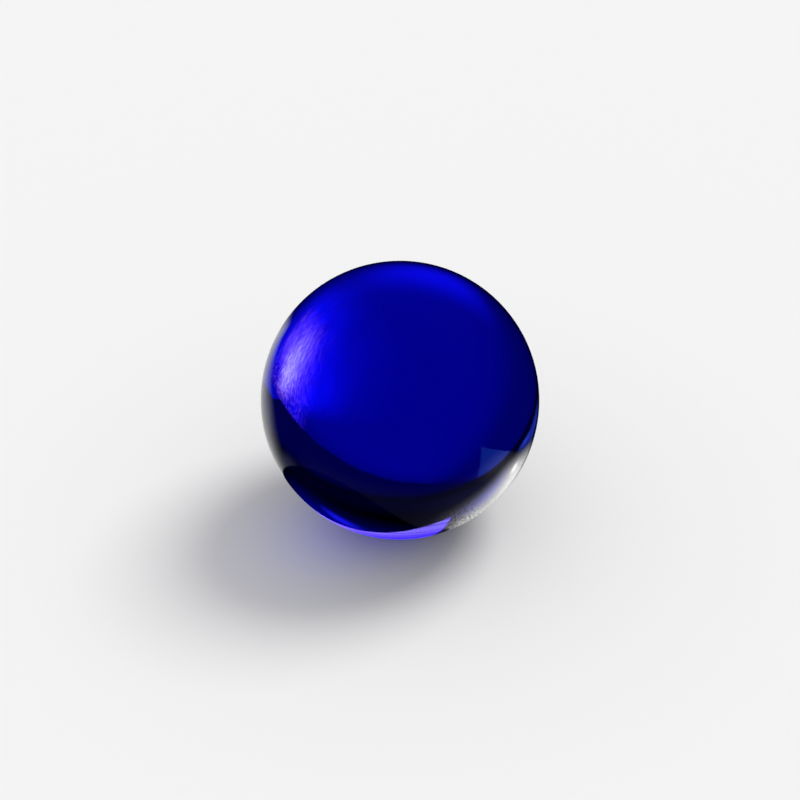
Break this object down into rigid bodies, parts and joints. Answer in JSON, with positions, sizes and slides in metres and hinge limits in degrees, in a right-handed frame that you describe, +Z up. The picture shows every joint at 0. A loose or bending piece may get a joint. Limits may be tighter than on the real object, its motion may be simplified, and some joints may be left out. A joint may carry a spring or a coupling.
{
  "type": "glass marble",
  "caption": "Solid ball of transparent deep blue glass with a polished, seamless skin, free to roll on a bench, track or tray.",
  "frame": {"origin": "centre of the ball", "axes": "+Z up, -Z towards the point that touches what the ball rests on; every axis through the centre is alike"},
  "size_m": [0.016, 0.016, 0.016],
  "materials": {
    "blue_glass": "fire-polished"
  },
  "bodies": {
    "root": {"marble": "blue_glass"}
  },
  "joints": []
}
